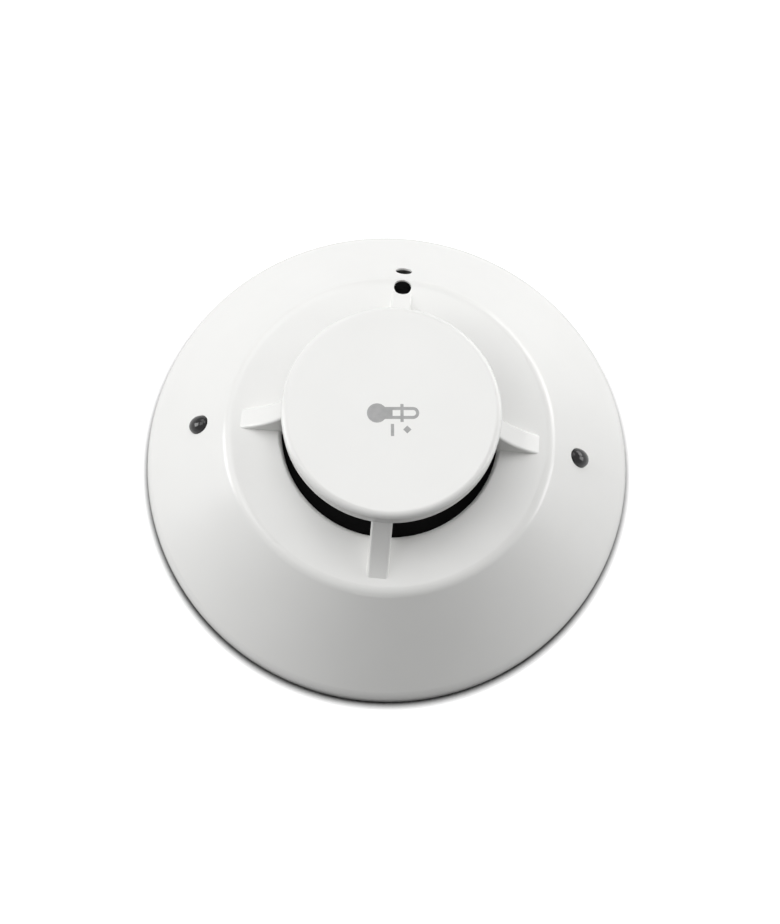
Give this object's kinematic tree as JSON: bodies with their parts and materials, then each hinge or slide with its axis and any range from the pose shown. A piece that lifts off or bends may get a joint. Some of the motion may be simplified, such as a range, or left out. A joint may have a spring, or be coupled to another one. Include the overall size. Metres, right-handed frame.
{
  "type": "heat detector",
  "caption": "Round ceiling heat detector head with a ribbed air gap under a flat sensor cap, on a low twist-lock mounting base.",
  "frame": {"origin": "centre of the mounting base's back face, the one that lies on the ceiling", "axes": "+Z from the back face into the room through the sensor cap; +Y towards the cover's two service holes; X through the two indicator windows"},
  "size_m": [0.104, 0.104, 0.04],
  "materials": {
    "white_cover_plastic": "satin",
    "grey_ink": "matte",
    "black_plastic": "matte",
    "white_chassis_plastic": "matte",
    "zinc_plated_steel": "bright",
    "phosphor_bronze": "bright",
    "tinned_brass": "bright",
    "green_circuit_board": "satin",
    "black_epoxy": "matte",
    "aluminium_can": "bright",
    "clear_glass": "polished",
    "chip_ceramic": "matte",
    "pillar_nylon": "matte",
    "tinned_wire": "bright",
    "dipped_epoxy": "gloss",
    "red_led_lens": "gloss",
    "smoked_polycarbonate": "gloss",
    "switch_plastic": "matte",
    "rotor_plastic": "matte"
  },
  "bodies": {
    "base": {"mounting_base": "white_chassis_plastic", "terminal_screws": "zinc_plated_steel", "terminal_strip_1": "phosphor_bronze", "terminal_strip_2": "phosphor_bronze", "terminal_strip_3": "phosphor_bronze", "terminal_strip_4": "phosphor_bronze", "wire_clamp_1": "zinc_plated_steel", "wire_clamp_2": "zinc_plated_steel", "wire_clamp_3": "zinc_plated_steel", "wire_clamp_4": "zinc_plated_steel"},
    "head": {"address_switch_ones": "switch_plastic", "address_switch_tens": "switch_plastic", "air_shroud": "black_plastic", "bridge_rectifier": "black_epoxy", "can_capacitors": "aluminium_can", "cap_pictogram": "grey_ink", "chassis": "white_chassis_plastic", "chassis_screws": "zinc_plated_steel", "chip_resistors": "chip_ceramic", "circuit_board": "green_circuit_board", "contact_blade_1": "phosphor_bronze", "contact_blade_2": "phosphor_bronze", "contact_blade_3": "phosphor_bronze", "contact_blade_4": "phosphor_bronze", "contact_rivets": "tinned_brass", "front_cover": "white_cover_plastic", "indicator_led_left": "red_led_lens", "indicator_led_right": "red_led_lens", "light_guide_left": "smoked_polycarbonate", "light_guide_right": "smoked_polycarbonate", "microcontroller": "black_epoxy", "reed_switch": "clear_glass", "sensor_cap": "white_cover_plastic", "thermistor_bead": "dipped_epoxy", "thermistor_leads": "tinned_wire", "thermistor_pillar": "pillar_nylon"},
    "tens_rotor": {"address_rotor_tens": "rotor_plastic"},
    "ones_rotor": {"address_rotor_ones": "rotor_plastic"}
  },
  "joints": [
    {"name": "head_twist", "type": "hinge", "parent": "base", "child": "head", "pos_m": [0, 0, 0.004], "axis": [0, 0, 1], "range_deg": [0, 18]},
    {"name": "tens_address", "type": "hinge", "parent": "head", "child": "tens_rotor", "pos_m": [-0.0055, 0, 0.007], "axis": [0, 0, 1], "range_deg": [0, 324]},
    {"name": "ones_address", "type": "hinge", "parent": "head", "child": "ones_rotor", "pos_m": [0.0055, 0, 0.007], "axis": [0, 0, 1], "range_deg": [0, 324]}
  ]
}
